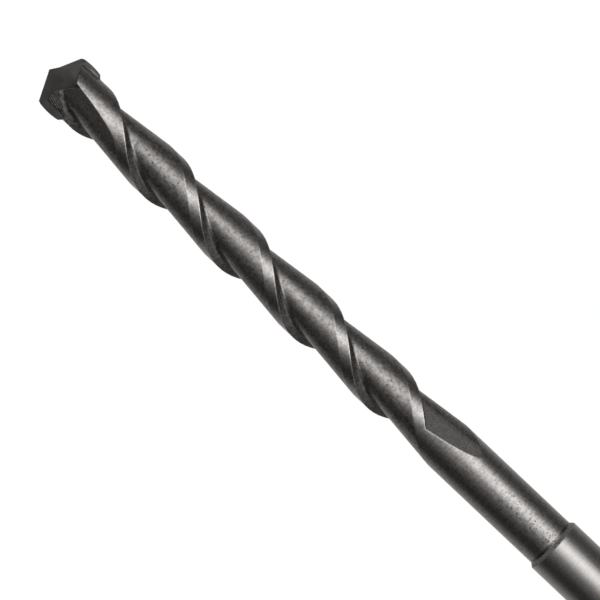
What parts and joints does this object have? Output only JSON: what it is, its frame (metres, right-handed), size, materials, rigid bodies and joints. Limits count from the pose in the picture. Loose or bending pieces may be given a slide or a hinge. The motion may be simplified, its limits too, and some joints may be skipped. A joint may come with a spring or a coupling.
{
  "type": "masonry drill bit",
  "caption": "Long fluted masonry drill bit with a slotted hammer shank and a carbide plate brazed across its point, for drilling holes in stone, brick and concrete.",
  "frame": {"origin": "centre of the flat rear end of the shank", "axes": "+X along the drill's axis towards the cutting point; the carbide plate lies level, in the XY plane"},
  "size_m": [0.16, 0.0104, 0.01],
  "materials": {
    "steel": "satin, ground",
    "carbide": "dark, ground",
    "braze": "dull"
  },
  "bodies": {
    "root": {"drill_body": "steel", "carbide_plate": "carbide", "braze_joint": "braze"}
  },
  "joints": []
}
